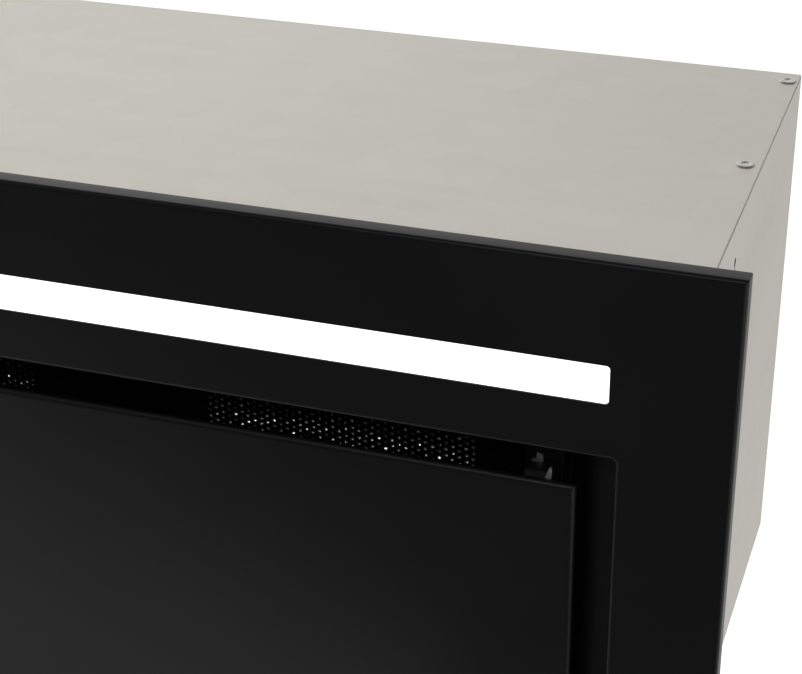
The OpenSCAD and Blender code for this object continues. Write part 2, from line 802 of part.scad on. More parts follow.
module impeller()
    color(soft_black) placed() translate([0, shaft_y, shaft_z]) rotate([0, 90, 0]) difference() {
        union() {
            for (x = [-impeller_w / 2, impeller_w / 2 - 2])
                translate([0, 0, x]) difference() {
                    cylinder(h = 2, r = impeller_r);
                    translate([0, 0, -1]) cylinder(h = 4, r = impeller_r - blade_d);
                }
            translate([0, 0, disc_x]) cylinder(h = 2.5, r = impeller_r - 1);
            translate([0, 0, disc_x - 2]) cylinder(h = hub_l, r = hub_r);
            for (i = [0 : blade_count - 1])
                rotate([0, 0, i * 360 / blade_count]) translate([impeller_r - blade_d / 2 - 0.8, 0, 0])
                    rotate([0, 0, 25]) cube([blade_d, 1, impeller_w - 1], center = true);
        }
        translate([0, 0, -impeller_w]) cylinder(h = 2 * impeller_w, r = shaft_r);
    }

module motor_shaft()
    color(zinc) placed()
        bar_x(shaft_y, shaft_z, motor_x0 - 3, disc_x + hub_l + 2, shaft_r);

module motor_rotor()
    color(aluminium) placed() difference() {
        bar_x(shaft_y, shaft_z, motor_x0 + rotor_end, motor_x0 + motor_l - rotor_end, rotor_core_r);
        bar_x(shaft_y, shaft_z, motor_x0, motor_x0 + motor_l, shaft_r);
    }

module motor_stator()
    color(aluminium) placed() difference() {
        bar_x(shaft_y, shaft_z, motor_x0 + stator_end, motor_x0 + motor_l - stator_end, motor_r - can_t);
        bar_x(shaft_y, shaft_z, motor_x0, motor_x0 + motor_l, rotor_core_r + slide_gap);
    }

module motor_can()
    color(galvanised) placed() difference() {
        bar_x(shaft_y, shaft_z, motor_x0, motor_x0 + motor_l, motor_r);
        bar_x(shaft_y, shaft_z, motor_x0 + can_t, motor_x0 + motor_l - can_t, motor_r - can_t);
        bar_x(shaft_y, shaft_z, motor_x0 - 1, motor_x0 + motor_l + 1, shaft_r + 1);
    }

module motor_bearings()
    color(zinc) placed()
        for (x = [motor_x0 + can_t, motor_x0 + motor_l - can_t - bearing_w])
            difference() {
                bar_x(shaft_y, shaft_z, x, x + bearing_w, bearing_r);
                bar_x(shaft_y, shaft_z, x - 1, x + bearing_w + 1, shaft_r + run_gap);
            }

// Three arms across the inlet carry the motor
module motor_bracket()
    color(galvanised) placed() translate([-scroll_w / 2, shaft_y, shaft_z]) rotate([0, 90, 0]) difference() {
        union() {
            translate([0, 0, -bracket_t]) difference() {
                cylinder(h = bracket_t, r = inlet_r + bracket_ring);
                translate([0, 0, -1]) cylinder(h = bracket_t + 2, r = inlet_r);
            }
            for (i = [0 : 2])
                rotate([0, 0, 120 * i]) translate([0, -bracket_arm / 2, -bracket_t])
                    cube([inlet_r + bracket_ring / 2, bracket_arm, bracket_t]);
            translate([0, 0, -bracket_t])
                cylinder(h = bracket_t + scroll_w / 2 + motor_x0, r = bracket_hub_r);
        }
        translate([0, 0, -bracket_t - 1]) cylinder(h = scroll_w / 2, r = shaft_r + 2);
    }

module capacitor()
    color(opal) placed()
        bar_x(back_y - capacitor_back, floor_z + capacitor_r, capacitor_x0,
            capacitor_x0 + capacitor_l, capacitor_r);

// ---- duct collar ----

module duct_collar()
    color(soft_black) placed() difference() {
        union() {
            bar_y(0, collar_z, casing_d, casing_d + collar_l, collar_r);
            bar_y(0, collar_z, casing_d, casing_d + flange_t, collar_r + collar_flange);
        }
        bar_y(0, collar_z, seat_y1, casing_d + collar_l + 1, collar_bore);
        bar_y(0, collar_z, casing_d - 1, seat_y1 + 1, collar_bore - seat_w);
        for (x = [-rod_x, rod_x])
            translate([x, rod_y, collar_z - collar_r - 1]) cylinder(h = 2 * collar_r + 2, r = rod_r);
        collar_screw_bars(casing_d - 1, casing_d + flange_t + 1, screw_r);
    }

// The four screws' bars, or the holes for them
module collar_screw_bars(y0, y1, r)
    for (sx = [-1, 1], sz = [-1, 1])
        bar_y(sx * screw_reach, collar_z + sz * screw_reach, y0, y1, r);

module collar_screws()
    color(zinc) placed() {
        collar_screw_bars(back_y - flange_t, casing_d + flange_t, screw_r);
        collar_screw_bars(casing_d + flange_t, casing_d + flange_t + 2, screw_r + 1.6);
    }

// One half of the non-return damper, hinged on its rod by a full-length knuckle
module damper_flap()
    color(soft_black) placed() difference() {
        union() {
            upright(rod_y - flap_t / 2, rod_y + flap_t / 2) intersection() {
                translate([0, collar_z]) circle(flap_r);
                translate([rod_x, collar_z - collar_r]) square([2 * collar_r, 2 * collar_r]);
            }
            translate([rod_x, rod_y, collar_z - flap_knuckle_l / 2])
                cylinder(h = flap_knuckle_l, r = flap_knuckle_r);
        }
        translate([rod_x, rod_y, collar_z - collar_r]) cylinder(h = 2 * collar_r, r = rod_r + run_gap);
    }

module damper_right() damper_flap();
module damper_left() mirror([1, 0, 0]) damper_flap();

module damper_rods()
    color(zinc) placed()
        for (x = [-rod_x, rod_x])
            translate([x, rod_y, collar_z - collar_bore - 1]) cylinder(h = 2 * collar_bore + 2, r = rod_r);

// ---- controls and electrics ----

module control_box()
    color(soft_black) placed() difference() {
        slab([box_x0, back_y - box_d, box_z0], [box_x0 + box_w, back_y, box_z0 + box_h]);
        slab([box_x0 + box_t, back_y - box_d - 1, box_z0 + box_t],
            [box_x0 + box_w - box_t, back_y - box_t, box_z0 + box_h - box_t]);
    }

module control_cover()
    color(soft_black) placed()
        slab([box_x0, back_y - box_d - box_t, box_z0], [box_x0 + box_w, back_y - box_d, box_z0 + box_h]);

module control_board()
    color(board_green) placed() {
        slab([box_x0 + box_t + board_inset, board_y, box_z0 + box_t + board_inset],
            [box_x0 + box_w - box_t - board_inset, board_y + board_t, box_z0 + box_h - box_t - board_inset]);
        for (x = [box_x0 + box_t + pillar_inset, box_x0 + box_w - box_t - pillar_inset],
                z = [box_z0 + box_t + pillar_inset, box_z0 + box_h - box_t - pillar_inset])
            bar_y(x, z, board_y + board_t, back_y - box_t, pillar_r);
    }

module terminal_block()
    color(opal) placed()
        slab([box_x0 + box_w - terminal_inset - terminal_w, board_y - terminal_d, gland_z - terminal_h / 2],
            [box_x0 + box_w - terminal_inset, board_y, gland_z + terminal_h / 2]);

// The gland that the mains lead enters by
module cable_gland()
    color(soft_black) placed() difference() {
        union() {
            bar_y(gland_x, gland_z, back_y - gland_inner, casing_d, lead_r + 2);
            bar_y(gland_x, gland_z, casing_d, casing_d + gland_rim, lead_r + 6);
            bar_y(gland_x, gland_z, casing_d + gland_rim, casing_d + gland_outer, lead_r + 4);
            bar_y(gland_x, gland_z, back_y - gland_rim, back_y, lead_r + 5);
        }
        bar_y(gland_x, gland_z, back_y - gland_inner - 1, casing_d + gland_outer + 1, lead_bore);
    }

module button_housing()
    color(soft_black) placed() difference() {
        slab([-2.5 * button_pitch - 2, frame_t, button_z - button_r - 3],
            [2.5 * button_pitch + 2, frame_t + housing_d, button_z + button_r + 3]);
        for (i = [-2 : 2]) {
            bar_y(i * button_pitch, button_z, 0, housing_well, button_r + button_flange + fit_gap);
            bar_y(i * button_pitch, button_z, 0, frame_t + housing_d + 1, button_stem_r + fit_gap);
        }
    }

module button_board()
    color(board_green) placed()
        slab([-2.5 * button_pitch, frame_t + housing_d, button_z - button_r - 2],
            [2.5 * button_pitch, frame_t + housing_d + 1.6, button_z + button_r + 2]);

// A push button: cap, holding flange and stem
module button(place)
    color(satin_black) placed() {
        x = place * button_pitch;
        bar_y(x, button_z, 0, button_cap, button_r);
        bar_y(x, button_z, frame_t + fit_gap, frame_t + fit_gap + button_flange_t, button_r + button_flange);
        bar_y(x, button_z, button_cap, frame_t + housing_d - button_travel - fit_gap, button_stem_r);
    }

module button_1() button(-2);
module button_2() button(-1);
module button_3() button(0);
module button_4() button(1);
module button_5() button(2);

front_frame();
light_cover();
light_channel();
light_end_caps();
led_board();
led_chips();
led_driver();
suction_panel();
panel_backing();
panel_strikers();
panel_hinge_lugs();
hinge_brackets();
hinge_pins();
magnet_catches();
catch_brackets();
suction_tray();
filter_carrier();
filter_left();
filter_middle();
filter_right();
filter_mesh_left();
filter_mesh_middle();
filter_mesh_right();
top_sheet();
back_sheet();
bottom_sheet();
end_plate_left();
end_plate_right();
casing_rivets();
frame_studs();
frame_nuts();
side_clips();
clip_screws();
scroll_left();
scroll_right();
impeller();
motor_shaft();
motor_rotor();
motor_stator();
motor_can();
motor_bearings();
motor_bracket();
capacitor();
duct_collar();
collar_screws();
damper_left();
damper_right();
damper_rods();
control_box();
control_cover();
control_board();
terminal_block();
cable_gland();
button_housing();
button_board();
button_1();
button_2();
button_3();
button_4();
button_5();
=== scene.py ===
import json
import math
import random

import bmesh
import bpy
from mathutils import Matrix, Vector


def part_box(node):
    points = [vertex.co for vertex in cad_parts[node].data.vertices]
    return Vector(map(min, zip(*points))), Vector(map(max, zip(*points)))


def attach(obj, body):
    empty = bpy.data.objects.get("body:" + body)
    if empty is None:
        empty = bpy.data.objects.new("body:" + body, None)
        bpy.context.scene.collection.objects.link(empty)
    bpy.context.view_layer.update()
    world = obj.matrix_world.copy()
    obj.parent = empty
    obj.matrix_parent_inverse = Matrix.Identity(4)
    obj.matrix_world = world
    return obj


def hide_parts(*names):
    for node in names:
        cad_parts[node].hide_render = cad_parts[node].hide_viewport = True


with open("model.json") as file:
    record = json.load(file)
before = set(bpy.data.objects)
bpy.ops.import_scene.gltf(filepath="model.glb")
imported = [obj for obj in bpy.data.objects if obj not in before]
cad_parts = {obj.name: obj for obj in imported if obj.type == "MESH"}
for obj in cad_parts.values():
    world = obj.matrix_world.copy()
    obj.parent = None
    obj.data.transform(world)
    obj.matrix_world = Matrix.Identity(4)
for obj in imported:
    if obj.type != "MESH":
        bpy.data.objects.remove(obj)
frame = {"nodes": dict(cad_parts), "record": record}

scene = bpy.context.scene
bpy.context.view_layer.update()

bodies = frame["record"]["behaviour"]["bodies"]
bodyOf = {node: body for body, nodes in bodies.items() for node in nodes}
slotOf = {part["node"]: part["material_slot"] for part in frame["record"]["subparts"]}

# Where the camera stands and which way it looks
camera = {
    "place": (0.5267, -0.8723, 0.7409),
    "azimuth": 19.29,     # degrees to the right of straight ahead
    "elevation": 28.68,   # degrees above the horizon
    "roll": -0.893,
    "lens": 86.41,
}


def placeCamera():
    azimuth, elevation = math.radians(camera["azimuth"]), math.radians(camera["elevation"])
    level = math.cos(elevation)
    back = Vector((math.sin(azimuth) * level, -math.cos(azimuth) * level, math.sin(elevation)))
    side = Vector((math.cos(azimuth), math.sin(azimuth), 0))
    turn = Matrix((side, back.cross(side), back)).transposed()
    turn = turn @ Matrix.Rotation(math.radians(camera["roll"]), 3, "Z")
    data = bpy.data.cameras.new("viewCamera")
    data.lens, data.sensor_width = camera["lens"], 36
    data.clip_start, data.clip_end = 0.05, 50
    data.dof.use_dof = False
    eye = bpy.data.objects.new("viewCamera", data)
    eye.matrix_world = Matrix.Translation(camera["place"]) @ turn.to_4x4()
    scene.collection.objects.link(eye)
    scene.camera = eye


placeCamera()


# Shader groups that several finishes share, and the helpers that build them
def newGroup(name, inputs, outputs):
    group = bpy.data.node_groups.new(name, "ShaderNodeTree")
    for label, kind, value in inputs:
        group.interface.new_socket(label, in_out="INPUT", socket_type=kind).default_value = value
    for label, kind in outputs:
        group.interface.new_socket(label, in_out="OUTPUT", socket_type=kind)
    return group, group.nodes.new("NodeGroupInput"), group.nodes.new("NodeGroupOutput")


def addNode(tree, kind, links=None, **settings):
    node = tree.nodes.new(kind)
    for key, value in settings.items():
        setattr(node, key, value)
    for socket, value in (links or {}).items():
        if isinstance(value, bpy.types.NodeSocket):
            tree.links.new(value, node.inputs[socket])
        else:
            node.inputs[socket].default_value = value
    return node


# Carries a value from one range into another
def mapRange(tree, value, start, end):
    node = addNode(tree, "ShaderNodeMapRange", {
        "Value": value, "From Min": start[0], "From Max": start[1],
        "To Min": end[0], "To Max": end[1]})
    return node.outputs["Result"]


# Soft patches of tone, as a value from Low to High
def buildPatches():
    group, entry, leave = newGroup("softPatches", [
        ("Scale", "NodeSocketFloat", 5.0), ("Detail", "NodeSocketFloat", 2.0),
        ("Low", "NodeSocketFloat", 0.0), ("High", "NodeSocketFloat", 1.0)],
        [("Amount", "NodeSocketFloat")])
    spot = addNode(group, "ShaderNodeTexCoord")
    noise = addNode(group, "ShaderNodeTexNoise", {
        "Vector": spot.outputs["Object"], "Scale": entry.outputs["Scale"],
        "Detail": entry.outputs["Detail"], "Roughness": 0.5})
    spread = mapRange(group, noise.outputs["Fac"], (0.3, 0.7),
                      (entry.outputs["Low"], entry.outputs["High"]))
    group.links.new(spread, leave.inputs["Amount"])
    return group


# Fine grain for a bump, of the given size
def buildGrain():
    group, entry, leave = newGroup("fineGrain", [
        ("Size", "NodeSocketFloat", 1.0), ("Mix", "NodeSocketFloat", 0.5)],
        [("Height", "NodeSocketFloat")])
    spot = addNode(group, "ShaderNodeTexCoord")
    rate = addNode(group, "ShaderNodeMath", {0: 1000.0, 1: entry.outputs["Size"]},
                   operation="DIVIDE")
    coarse = addNode(group, "ShaderNodeTexNoise", {
        "Vector": spot.outputs["Object"], "Scale": rate.outputs[0], "Detail": 1.0})
    finer = addNode(group, "ShaderNodeMath", {0: rate.outputs[0], 1: 3.1}, operation="MULTIPLY")
    fine = addNode(group, "ShaderNodeTexVoronoi", {
        "Vector": spot.outputs["Object"], "Scale": finer.outputs[0]})
    mix = addNode(group, "ShaderNodeMix", {
        "Factor": entry.outputs["Mix"], "A": coarse.outputs["Fac"], "B": fine.outputs["Distance"]})
    group.links.new(mix.outputs["Result"], leave.inputs["Height"])
    return group


# Long drawn streaks, as rolled or brushed metal has, running along one direction
def buildStreaks():
    group, entry, leave = newGroup("drawnStreaks", [
        ("Stretch", "NodeSocketVector", (1.0, 40.0, 40.0)), ("Scale", "NodeSocketFloat", 12.0),
        ("Low", "NodeSocketFloat", 0.0), ("High", "NodeSocketFloat", 1.0)],
        [("Amount", "NodeSocketFloat")])
    spot = addNode(group, "ShaderNodeTexCoord")
    stretched = addNode(group, "ShaderNodeVectorMath", {
        0: spot.outputs["Object"], 1: entry.outputs["Stretch"]}, operation="MULTIPLY")
    noise = addNode(group, "ShaderNodeTexNoise", {
        "Vector": stretched.outputs[0], "Scale": entry.outputs["Scale"], "Detail": 3.0})
    spread = mapRange(group, noise.outputs["Fac"], (0.25, 0.75),
                      (entry.outputs["Low"], entry.outputs["High"]))
    group.links.new(spread, leave.inputs["Amount"])
    return group


# Thin dust that settles on what faces up
def buildDust():
    group, entry, leave = newGroup("settledDust", [("Amount", "NodeSocketFloat", 0.1)],
                                   [("Mask", "NodeSocketFloat")])
    shape = addNode(group, "ShaderNodeNewGeometry")
    parts = addNode(group, "ShaderNodeSeparateXYZ", {"Vector": shape.outputs["Normal"]})
    upward = mapRange(group, parts.outputs["Z"], (0.4, 1.0), (0.0, 1.0))
    spot = addNode(group, "ShaderNodeTexCoord")
    noise = addNode(group, "ShaderNodeTexNoise", {
        "Vector": spot.outputs["Object"], "Scale": 90.0, "Detail": 6.0})
    share = addNode(group, "ShaderNodeMath", {0: upward, 1: noise.outputs["Fac"]},
                    operation="MULTIPLY")
    scaled = addNode(group, "ShaderNodeMath", {0: share.outputs[0], 1: entry.outputs["Amount"]},
                     operation="MULTIPLY")
    group.links.new(scaled.outputs[0], leave.inputs["Mask"])
    return group


patches, grain, streaks, dust = buildPatches(), buildGrain(), buildStreaks(), buildDust()


def useGroup(tree, group, **values):
    node = tree.nodes.new("ShaderNodeGroup")
    node.node_tree = group
    for label, value in values.items():
        node.inputs[label].default_value = value
    return node


# Each colour is (red, green, blue) or a socket
def blendColours(tree, factor, first, second):
    first, second = ((*c, 1) if isinstance(c, tuple) else c for c in (first, second))
    mix = addNode(tree, "ShaderNodeMix", {"Factor": factor, "A": first, "B": second},
                  data_type="RGBA")
    return mix.outputs["Result"]


def newMaterial(name, roughness=0.5, metallic=0.0, specular=0.5):
    material = bpy.data.materials.new(name)
    material.use_nodes = True
    shader = material.node_tree.nodes["Principled BSDF"]
    shader.inputs["Roughness"].default_value = roughness
    shader.inputs["Metallic"].default_value = metallic
    shader.inputs["Specular IOR Level"].default_value = specular
    return material, material.node_tree, shader


grainDepth = 0.0002  # bump distance for a grain of size 1


def addBump(tree, shader, height, strength, distance):
    bump = addNode(tree, "ShaderNodeBump", {
        "Height": height, "Strength": strength, "Distance": distance})
    tree.links.new(bump.outputs["Normal"], shader.inputs["Normal"])


def roughRange(finish):
    return {"Low": finish["roughness"] - finish["roughSpread"],
            "High": finish["roughness"] + finish["roughSpread"]}


# A coated or moulded surface: two tones in soft patches, a fine grain and a little dust
def coated(name, finish):
    material, tree, shader = newMaterial(name, specular=finish["specular"])
    tone = useGroup(tree, patches, Scale=finish["patchScale"], Low=0.0, High=1.0)
    colour = blendColours(tree, tone.outputs["Amount"], finish["dark"], finish["light"])
    settled = useGroup(tree, dust, Amount=finish["dust"])
    colour = blendColours(tree, settled.outputs["Mask"], colour, finish["dustColour"])
    tree.links.new(colour, shader.inputs["Base Color"])
    rough = useGroup(tree, patches, Scale=finish["patchScale"] * 7, Detail=4.0,
                     **roughRange(finish))
    tree.links.new(rough.outputs["Amount"], shader.inputs["Roughness"])
    surface = useGroup(tree, grain, Size=finish["grainSize"], Mix=finish["grainMix"])
    addBump(tree, shader, surface.outputs["Height"], finish["bump"],
            finish["grainSize"] * grainDepth)
    return material


# Bare or plated metal with drawn streaks
def metal(name, finish):
    material, tree, shader = newMaterial(name, metallic=finish["metallic"])
    tone = useGroup(tree, patches, Scale=finish["patchScale"], Detail=3.0, Low=0.0, High=1.0)
    colour = blendColours(tree, tone.outputs["Amount"], finish["dark"], finish["light"])
    tree.links.new(colour, shader.inputs["Base Color"])
    lines = useGroup(tree, streaks, Stretch=finish["stretch"], Scale=finish["streakScale"],
                     **roughRange(finish))
    tree.links.new(lines.outputs["Amount"], shader.inputs["Roughness"])
    surface = useGroup(tree, grain, Size=finish["grainSize"], Mix=0.3)
    addBump(tree, shader, surface.outputs["Height"], finish["bump"],
            finish["grainSize"] * grainDepth)
    return material


# What a user would change in each family of finish
satin = {"dark": (0.0100, 0.0100, 0.0102), "light": (0.0132, 0.0132, 0.0133),
         "patchScale": 5.0, "roughness": 0.36, "roughSpread": 0.02, "specular": 0.4,
         "grainSize": 0.9, "grainMix": 0.35, "bump": 0.10, "dust": 0.002,
         "dustColour": (0.35, 0.34, 0.32)}
# A darker copy of the satin black for the parts deep inside the hood. The black is their real
# paint; the extra darkness is painted shade
shaded = {**satin, "dark": (0.0036, 0.0036, 0.0038), "light": (0.0056, 0.0056, 0.0057)}
moulded = {**satin, "dark": (0.0090, 0.0090, 0.0094), "light": (0.0135, 0.0135, 0.0140),
           "roughness": 0.52, "grainSize": 0.6, "grainMix": 0.7, "bump": 0.25, "dust": 0.02}
plated = {"dark": (0.60, 0.60, 0.62), "light": (0.74, 0.74, 0.75), "patchScale": 60.0,
          "metallic": 0.95, "roughness": 0.26, "roughSpread": 0.04,
          "stretch": (20.0, 1.0, 20.0), "streakScale": 30.0, "grainSize": 0.5, "bump": 0.08}


# Galvanised sheet: faint crystal pattern over rolled steel
galvanised = {"cool": (0.800, 0.785, 0.712), "warm": (0.735, 0.697, 0.622), "patchScale": 2.2,
              "crystal": 55.0, "crystalShare": 0.10, "roughness": 0.44, "roughSpread": 0.02,
              "metallic": 0.55, "stretch": (1.0, 30.0, 30.0), "streakScale": 6.0,
              "grainSize": 2.4, "bump": 0.05, "bumpDepth": 0.0004}


def galvanisedSheet():
    g = galvanised
    material, tree, shader = newMaterial("galvanisedSheet", metallic=g["metallic"])
    spot = addNode(tree, "ShaderNodeTexCoord")
    tone = useGroup(tree, patches, Scale=g["patchScale"], Detail=2.0, Low=0.0, High=1.0)
    crystals = addNode(tree, "ShaderNodeTexVoronoi", {
        "Vector": spot.outputs["Object"], "Scale": g["crystal"], "Randomness": 1.0})
    grey = addNode(tree, "ShaderNodeRGBToBW", {"Color": crystals.outputs["Color"]})
    reach = g["crystalShare"]
    amount = mapRange(tree, grey.outputs["Val"], (0.2, 0.8), (-reach, reach))
    mixed = addNode(tree, "ShaderNodeMath", {0: tone.outputs["Amount"], 1: amount},
                    operation="ADD", use_clamp=True)
    colour = blendColours(tree, mixed.outputs[0], g["warm"], g["cool"])
    tree.links.new(colour, shader.inputs["Base Color"])
    lines = useGroup(tree, streaks, Stretch=g["stretch"], Scale=g["streakScale"],
                     **roughRange(g))
    tree.links.new(lines.outputs["Amount"], shader.inputs["Roughness"])
    surface = useGroup(tree, grain, Size=g["grainSize"], Mix=0.2)
    addBump(tree, shader, surface.outputs["Height"], g["bump"], g["bumpDepth"])
    return material


# Opal light cover, which glows by itself as if lit from behind
opal = {"body": (0.9, 0.9, 0.89), "roughness": 0.35, "glow": 1.35, "white": (1.0, 1.0, 1.0),
        "coolWhite": (0.97, 0.985, 1.0), "patchScale": 14.0, "grainSize": 0.4, "bump": 0.08,
        "bumpDepth": 0.00005}


def opalAcrylic():
    o = opal
    material, tree, shader = newMaterial("opalAcrylic", roughness=o["roughness"])
    shader.inputs["Base Color"].default_value = (*o["body"], 1)
    tone = useGroup(tree, patches, Scale=o["patchScale"], Detail=1.0, Low=0.0, High=1.0)
    colour = blendColours(tree, tone.outputs["Amount"], o["coolWhite"], o["white"])
    tree.links.new(colour, shader.inputs["Emission Color"])
    shader.inputs["Emission Strength"].default_value = o["glow"]
    surface = useGroup(tree, grain, Size=o["grainSize"], Mix=0.8)
    addBump(tree, shader, surface.outputs["Height"], o["bump"], o["bumpDepth"])
    return material


finishes = {
    "black_paint": coated("blackPowderCoat", satin),
    # The filter, tray and lining paints use the darker copy, so part of their darkness is painted
    # shade
    "black_filter_paint": coated("blackFilterCoat", {**shaded, "roughness": 0.48, "bump": 0.16}),
    "tray_paint": coated("blackTrayCoat", {**shaded, "roughness": 0.5}),
    "panel_lining": coated("blackLinerCoat", {**shaded, "roughness": 0.6, "bump": 0.2}),
    "black_buttons": coated("blackButtonPlastic", {**moulded, "grainSize": 0.4, "dust": 0.0}),
    "black_plastic": coated("blackMouldedPlastic", moulded),
    "white_plastic": coated("whiteMouldedPlastic", {
        **moulded, "dark": (0.70, 0.70, 0.67), "light": (0.78, 0.78, 0.76), "roughness": 0.42}),
    "circuit_board": coated("greenCircuitBoard", {
        **moulded, "dark": (0.010, 0.085, 0.030), "light": (0.016, 0.12, 0.042),
        "roughness": 0.35}),
    "light_chip": coated("yellowLightChip", {
        **moulded, "dark": (0.80, 0.72, 0.38), "light": (0.88, 0.80, 0.46), "roughness": 0.3}),
    "opal_acrylic": opalAcrylic(),
    "aluminium_channel": metal("millAluminium", {
        **plated, "dark": (0.74, 0.75, 0.77), "light": (0.82, 0.83, 0.85),
        "stretch": (1.0, 40.0, 40.0)}),
    "zinc_plate": metal("brightZincPlate", {
        **plated, "dark": (0.56, 0.55, 0.52), "light": (0.67, 0.66, 0.625), "metallic": 0.75,
        "roughness": 0.36}),
    "grease_mesh": metal("aluminiumMesh", {
        **plated, "dark": (0.80, 0.80, 0.80), "light": (0.93, 0.93, 0.93), "roughness": 0.28}),
    "motor_steel": metal("machinedSteel", {
        **plated, "dark": (0.42, 0.42, 0.43), "light": (0.55, 0.55, 0.56), "roughness": 0.34}),
    "galvanised_sheet": galvanisedSheet(),
    # Near-black metal for the side clip slot's edge faces: painted shade, not the colour of the
    # steel
    "cut_edge": metal("slotEdgeShadePaint", {
        **plated, "dark": (0.03, 0.03, 0.03), "light": (0.06, 0.06, 0.06), "roughness": 0.6}),
}
print("finishes made:", len(finishes))

for nodeName, part in frame["nodes"].items():
    part.data.materials.clear()
    part.data.materials.append(finishes[slotOf[nodeName]])


def linkMesh(name, bm):
    mesh = bpy.data.meshes.new(name)
    bm.to_mesh(mesh)
    bm.free()
    thing = bpy.data.objects.new(name, mesh)
    scene.collection.objects.link(thing)
    return thing


# A piece of the object: smooth up to the given angle, riding on its body with its slot's finish
def addPiece(name, bm, body, slot, stands=(), smooth=24.0):
    bmesh.ops.recalc_face_normals(bm, faces=bm.faces)
    piece = linkMesh(name, bm)
    piece.data.shade_smooth()
    piece.data.set_sharp_from_angle(angle=math.radians(smooth))
    piece.data.materials.append(finishes[slot])
    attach(piece, body)
    if stands:
        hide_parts(*stands)
    return piece


# Points round a rectangle with round corners, counter-clockwise, as (x, z)
def roundLoop(x0, x1, z0, z1, radius, steps=5):
    points = []
    for cx, cz, start in ((x1 - radius, z1 - radius, 0), (x0 + radius, z1 - radius, 90),
                          (x0 + radius, z0 + radius, 180), (x1 - radius, z0 + radius, 270)):
        for i in range(steps + 1):
            angle = math.radians(start + 90 * i / steps)
            points.append((cx + radius * math.cos(angle), cz + radius * math.sin(angle)))
    return points


# Points round a circle, counter-clockwise
def circleLoop(x, z, radius, steps=40):
    angles = [2 * math.pi * i / steps for i in range(steps)]
    return [(x + radius * math.cos(a), z + radius * math.sin(a)) for a in angles]


def ring(bm, points, y):
    return [bm.verts.new((x, y, z)) for x, z in points]


# Closes the wall between two rings of the same count
def bridge(bm, first, second):
    count = len(first)
    for i in range(count):
        j = (i + 1) % count
        bm.faces.new((first[i], first[j], second[j], second[i]))


def bridgeAll(bm, rings):
    for first, second in zip(rings, rings[1:]):
        bridge(bm, first, second)


def capEnds(bm, rings):
    bm.faces.new(rings[0])
    bm.faces.new(list(reversed(rings[-1])))


def pieceNameOf(nodeName):
    first, *others = nodeName.split("_")
    return first + "".join(word.capitalize() for word in others) + "Piece"


# Fills the flat area between an outer ring and the rings of its holes
def fillFlat(bm, rings):
    edges = []
    for loop in rings:
        for i, vert in enumerate(loop):
            after = loop[(i + 1) % len(loop)]
            edges.append(bm.edges.get((vert, after)) or bm.edges.new((vert, after)))
    bmesh.ops.triangle_fill(bm, use_beauty=True, use_dissolve=False, edges=edges)


# Rings that follow a section: each step is (distance in from the outline, depth)
def sweepRings(bm, outline, section):
    rings = [ring(bm, outline(inset), depth) for inset, depth in section]
    bridgeAll(bm, rings)
    return rings


# Part of a circle in a section, between two angles in degrees
def arc(centreIn, centreY, radius, start, end, steps):
    points = []
    for i in range(steps + 1):
        angle = math.radians(start + (end - start) * i / steps)
        points.append((centreIn - radius * math.cos(angle), centreY - radius * math.sin(angle)))
    return points


# A copy of a plain solid with its sharp edges softened; angles are in degrees
softening = {"segments": 2, "sharp": 28.0, "flat": 0.6, "smooth": 20.0}


def softened(name, width):
    s = softening
    bm = bmesh.new()
    bm.from_mesh(frame["nodes"][name].data)
    bmesh.ops.remove_doubles(bm, verts=bm.verts, dist=1e-6)
    bmesh.ops.dissolve_limit(bm, angle_limit=math.radians(s["flat"]), verts=bm.verts,
                             edges=bm.edges)
    corners = [e for e in bm.edges if len(e.link_faces) == 2
               and e.calc_face_angle(0.0) > math.radians(s["sharp"])]
    bmesh.ops.bevel(bm, geom=corners, offset=width, segments=s["segments"], profile=0.5,
                    affect="EDGES", clamp_overlap=True)
    return addPiece(pieceNameOf(name), bm, bodyOf[name], slotOf[name], stands=(name,),
                    smooth=s["smooth"])


# Front frame: folded sheet with the opening, the light window and five button holes
frontFrame = {
    "sheet": 0.0015, "bend": 0.0020, "bendSteps": 7, "margin": 0.0004, "corner": 0.0006,
    "hemDepth": 0.0091, "hemWidth": 0.0027, "hemRound": 0.0003, "openingBend": 0.0020,
    "openingFold": 0.012, "openingCorner": 0.0025, "cutEdge": 0.00025, "windowLip": 0.003,
    "windowCorner": 0.0018, "trayWall": 0.0025, "buttonGap": 0.0003, "buttonFlange": 0.0013,
}


